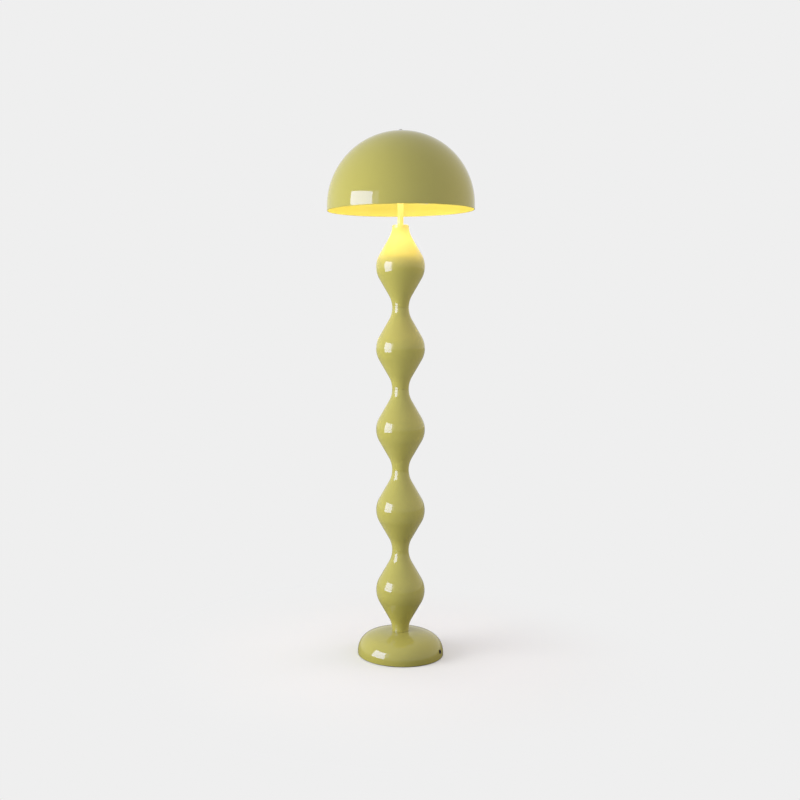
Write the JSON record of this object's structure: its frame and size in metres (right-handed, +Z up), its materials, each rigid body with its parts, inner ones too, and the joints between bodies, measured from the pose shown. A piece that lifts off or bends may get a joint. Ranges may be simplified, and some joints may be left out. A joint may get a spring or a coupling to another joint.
{
  "type": "mushroom floor lamp",
  "caption": "Floor lamp with a domed metal shade over a column of stacked hollow beads on a round weighted base.",
  "frame": {"origin": "middle of the footprint on the floor, on the lamp's axis", "axes": "+Z up along the column, from the base to the shade; +X to the right in the picture's view and +Y away from it"},
  "size_m": [0.4, 0.4, 1.4363],
  "materials": {
    "olive_lacquer": "high-gloss olive lacquer",
    "shade_lacquer": "high-gloss olive lacquer outside and inside",
    "bracket_lacquer": "white powder coat",
    "weight_iron": "as cast, painted black",
    "zinc_steel": "zinc plated",
    "foot_foam": "matt",
    "black_rubber": "matt",
    "block_plastic": "moulded",
    "holder_plastic": "moulded",
    "porcelain": "glazed",
    "brass": "bright",
    "lead_sheath": "soft sheath",
    "opal_glass": "opal",
    "cap_nickel": "nickel plated",
    "cap_insulator": "dark glass",
    "finial_nickel": "satin nickel"
  },
  "bodies": {
    "stand": {"base_cover": "olive_lacquer", "foot_ring": "olive_lacquer", "bead_1": "olive_lacquer", "bead_2": "olive_lacquer", "bead_3": "olive_lacquer", "bead_4": "olive_lacquer", "bead_5": "olive_lacquer", "top_collar": "olive_lacquer", "upper_tube": "olive_lacquer", "tube_plug": "olive_lacquer", "shade_bracket": "bracket_lacquer", "base_weight": "weight_iron", "base_plate": "zinc_steel", "plate_screws": "zinc_steel", "base_washer": "zinc_steel", "spring_washer": "zinc_steel", "base_nut": "zinc_steel", "lower_tube": "zinc_steel", "tube_coupling": "zinc_steel", "neck_spigot_1": "zinc_steel", "neck_spigot_2": "zinc_steel", "neck_spigot_3": "zinc_steel", "neck_spigot_4": "zinc_steel", "block_screw": "zinc_steel", "holder_nipple": "zinc_steel", "holder_nut": "zinc_steel", "shade_stud": "zinc_steel", "stud_nut": "zinc_steel", "seat_plate": "zinc_steel", "base_pad": "foot_foam", "cord_grommet": "black_rubber", "seat_gasket": "black_rubber", "terminal_block": "block_plastic", "holder_cap": "holder_plastic", "holder_skirt": "holder_plastic", "holder_core": "porcelain", "terminal_barrels": "brass", "screw_shell": "brass", "centre_contact": "brass", "inner_lead": "lead_sheath"},
    "shade": {"shade": "shade_lacquer"},
    "finial": {"finial_washer": "finial_nickel", "finial_nut": "finial_nickel"},
    "bulb": {"bulb_globe": "opal_glass", "bulb_cap": "cap_nickel", "bulb_insulator": "cap_insulator", "bulb_tip": "brass"}
  },
  "joints": [
    {"name": "shade_lift", "type": "slide", "parent": "stand", "child": "shade", "axis": [0, 0, 1], "range_m": [0, 0.225]},
    {"name": "finial_turn", "type": "hinge", "parent": "shade", "child": "finial", "pos_m": [0, 0, 1.4313], "axis": [0, 0, 1], "continuous": true},
    {"name": "bulb_turn", "type": "hinge", "parent": "stand", "child": "bulb", "pos_m": [0, 0, 1.2754], "axis": [0, 0, 1], "continuous": true}
  ]
}
